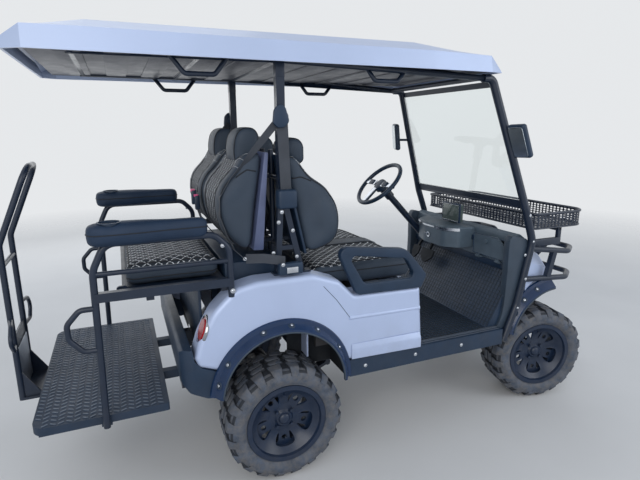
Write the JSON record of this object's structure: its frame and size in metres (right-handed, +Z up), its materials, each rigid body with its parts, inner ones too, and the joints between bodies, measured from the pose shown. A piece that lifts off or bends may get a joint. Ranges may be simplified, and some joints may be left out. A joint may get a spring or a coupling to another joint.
{
  "type": "golf cart",
  "caption": "Lifted golf cart with front bench, rear-facing flip seat, roof, folding footplate with bag rack, front basket, off-road tyres and working steering.",
  "frame": {"origin": "on the ground, in the middle of the whole cart's length and width", "axes": "+X forward, +Y to the cart's left, +Z up"},
  "size_m": [3.0958, 1.188, 2.054],
  "materials": {
    "tyre": "moulded rubber, road dust",
    "rim_black": "satin",
    "axle_iron": "painted black",
    "frame_black": "satin powder coat",
    "body_silver": "metallic gloss",
    "roof_silver": "metallic gloss",
    "trim_black": "grained",
    "flare_black": "semi gloss",
    "seat_vinyl": "quilted vinyl",
    "glass": "clear",
    "lamp_red": "clear red lens",
    "lamp_clear": "clear lens",
    "screen": "glossy",
    "battery_grey": "plain",
    "plate_black": "diamond plate, coated black"
  },
  "bodies": {
    "chassis": {"rear_axle": "axle_iron", "motor_block": "axle_iron", "front_axle": "axle_iron", "chassis_frame": "frame_black", "suspension": "frame_black", "battery_block": "battery_grey", "rear_body": "body_silver", "rear_flares": "flare_black", "front_flares": "flare_black", "tail_lamps": "lamp_red", "rear_bumper": "trim_black", "rockers": "trim_black", "floor_pan": "trim_black", "front_cowl": "body_silver", "headlamps": "lamp_clear", "dashboard": "trim_black", "display": "screen", "steering_column": "frame_black", "pedals": "frame_black", "windscreen_frame": "frame_black", "windscreen": "glass", "roof": "roof_silver", "roof_frame": "frame_black", "roof_handles": "trim_black", "rear_struts": "frame_black", "belt_reels": "trim_black", "front_seat_backs": "seat_vinyl", "rear_seat_backs": "seat_vinyl", "seat_back_frame": "frame_black", "hip_loops": "trim_black", "armrest_frames": "frame_black", "armrest_pads": "seat_vinyl", "footplate": "plate_black", "bag_rack": "frame_black", "front_guard": "frame_black", "basket": "frame_black", "mirrors": "trim_black"},
    "wheel_rear_left": {"tyre_rear_left": "tyre", "rim_rear_left": "rim_black"},
    "wheel_rear_right": {"tyre_rear_right": "tyre", "rim_rear_right": "rim_black"},
    "wheel_front_left": {"tyre_front_left": "tyre", "rim_front_left": "rim_black"},
    "wheel_front_right": {"tyre_front_right": "tyre", "rim_front_right": "rim_black"},
    "knuckle_left": {"knuckle_left": "axle_iron"},
    "knuckle_right": {"knuckle_right": "axle_iron"},
    "tie_rod": {"tie_rod": "axle_iron"},
    "steering_wheel": {"steering_wheel": "trim_black"},
    "front_seat": {"front_cushion": "seat_vinyl"},
    "rear_seat": {"rear_cushion": "seat_vinyl", "rear_seat_pan": "frame_black"},
    "glovebox_lid": {"glovebox_lid": "trim_black"}
  },
  "joints": [
    {"name": "rear_left_spin", "type": "hinge", "parent": "chassis", "child": "wheel_rear_left", "pos_m": [-0.4222, 0.464, 0.28], "axis": [0, 1, 0], "continuous": true},
    {"name": "rear_right_spin", "type": "hinge", "parent": "chassis", "child": "wheel_rear_right", "pos_m": [-0.4222, -0.464, 0.28], "axis": [0, 1, 0], "continuous": true},
    {"name": "steer_left", "type": "hinge", "parent": "chassis", "child": "knuckle_left", "pos_m": [1.2418, 0.326, 0.28], "axis": [0, 0, 1], "range_deg": [-13.6, 38.4]},
    {"name": "steer_right", "type": "hinge", "parent": "chassis", "child": "knuckle_right", "pos_m": [1.2418, -0.326, 0.28], "axis": [0, 0, 1], "range_deg": [-13.6, 38.4]},
    {"name": "front_left_spin", "type": "hinge", "parent": "knuckle_left", "child": "wheel_front_left", "pos_m": [1.25705, 0.39534, 0.28], "axis": [0.2147, 0.9767, 0], "continuous": true},
    {"name": "front_right_spin", "type": "hinge", "parent": "knuckle_right", "child": "wheel_front_right", "pos_m": [1.22655, -0.39534, 0.28], "axis": [0.2147, 0.9767, 0], "continuous": true},
    {"name": "tie_rod_pivot", "type": "hinge", "parent": "knuckle_left", "child": "tie_rod", "pos_m": [1.14413, 0.34747, 0.22], "axis": [0, 0, 1], "range_deg": [-38.4, 13.6]},
    {"name": "steering_wheel_turn", "type": "hinge", "parent": "chassis", "child": "steering_wheel", "pos_m": [0.5098, 0.269, 1.266], "axis": [-0.6947, 0, 0.7193], "range_deg": [-191, 538]},
    {"name": "front_seat_lift", "type": "hinge", "parent": "chassis", "child": "front_seat", "pos_m": [-0.2442, 0, 0.852], "axis": [0, -1, 0], "range_deg": [0, 35]},
    {"name": "rear_seat_flip", "type": "hinge", "parent": "chassis", "child": "rear_seat", "pos_m": [-1.0732, 0, 0.987], "axis": [0, -1, 0], "range_deg": [0, 180]},
    {"name": "glovebox_lid_hinge", "type": "hinge", "parent": "chassis", "child": "glovebox_lid", "pos_m": [0.9238, -0.318, 0.862], "axis": [0, -1, 0], "range_deg": [0, 75]}
  ],
  "couplings": [
    {"joint": "steer_right", "follows": "steer_left", "ratio": 1},
    {"joint": "tie_rod_pivot", "follows": "steer_left", "ratio": -1},
    {"joint": "steering_wheel_turn", "follows": "steer_left", "ratio": 14}
  ]
}
